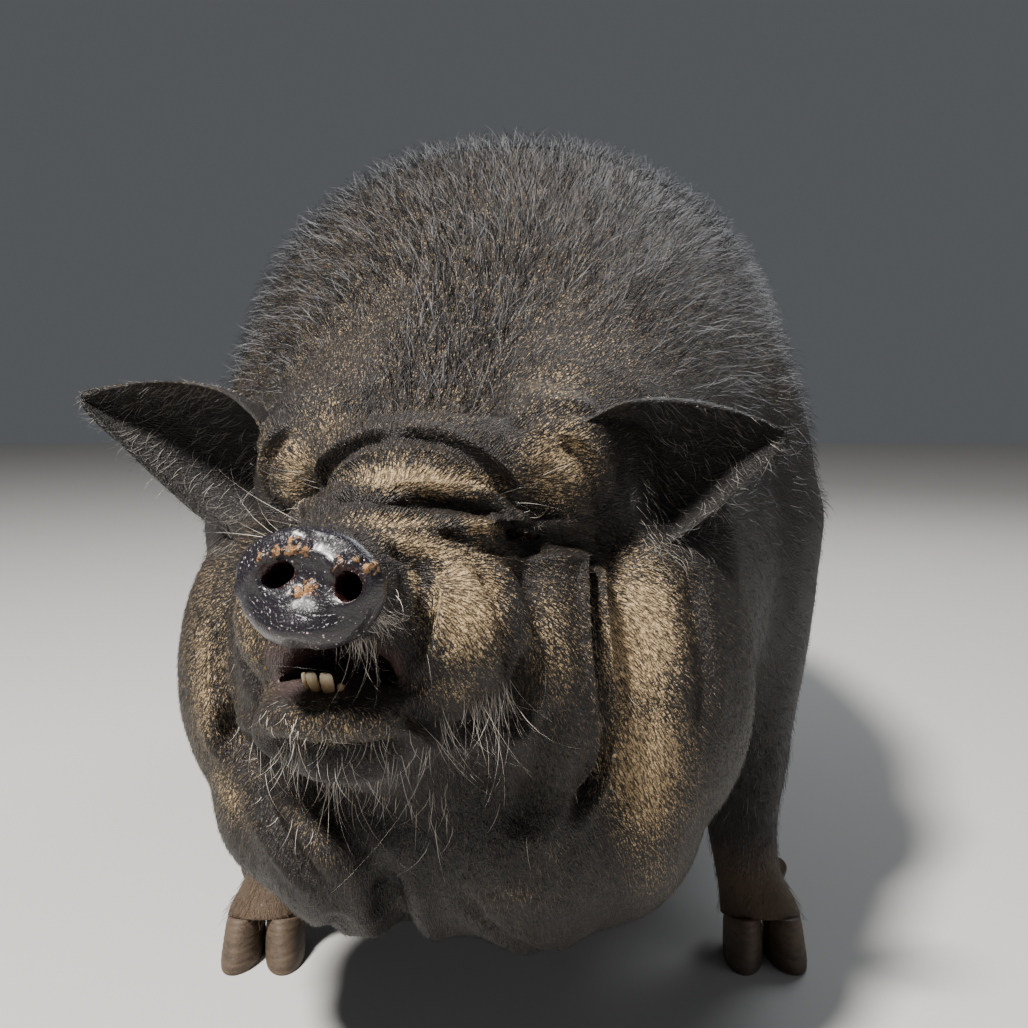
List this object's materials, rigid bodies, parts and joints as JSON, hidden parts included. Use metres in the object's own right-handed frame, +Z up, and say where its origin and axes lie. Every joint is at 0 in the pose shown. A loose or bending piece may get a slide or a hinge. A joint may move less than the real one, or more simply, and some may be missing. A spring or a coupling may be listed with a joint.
{
  "type": "pot-bellied pig",
  "caption": "Life-size still model of a very fat black domestic pot-bellied pig, standing with its wrinkled head low and turned to its right.",
  "frame": {"origin": "on the floor below the middle of the pig's box", "axes": "+Z up, the pig faces -Y and its left side is +X"},
  "size_m": [0.4849, 1.0942, 0.6048],
  "materials": {
    "hide": "dry black skin with dust and bristles",
    "horn": "worn horn, matt",
    "cornea": "wet and glossy",
    "enamel": "cream, slightly glossy"
  },
  "bodies": {
    "root": {"head": "hide", "neck": "hide", "torso": "hide", "tail": "hide", "ear_left": "hide", "ear_right": "hide", "foreleg_left": "hide", "foreleg_right": "hide", "hindleg_left": "hide", "hindleg_right": "hide", "hoof_fore_left_outer": "horn", "hoof_fore_left_inner": "horn", "hoof_fore_right_outer": "horn", "hoof_fore_right_inner": "horn", "hoof_hind_left_outer": "horn", "hoof_hind_left_inner": "horn", "hoof_hind_right_outer": "horn", "hoof_hind_right_inner": "horn", "dewclaw_fore_left_outer": "horn", "dewclaw_fore_left_inner": "horn", "dewclaw_fore_right_outer": "horn", "dewclaw_fore_right_inner": "horn", "dewclaw_hind_left_outer": "horn", "dewclaw_hind_left_inner": "horn", "dewclaw_hind_right_outer": "horn", "dewclaw_hind_right_inner": "horn", "eye_left": "cornea", "eye_right": "cornea", "incisor_left": "enamel", "incisor_right": "enamel"}
  },
  "joints": []
}
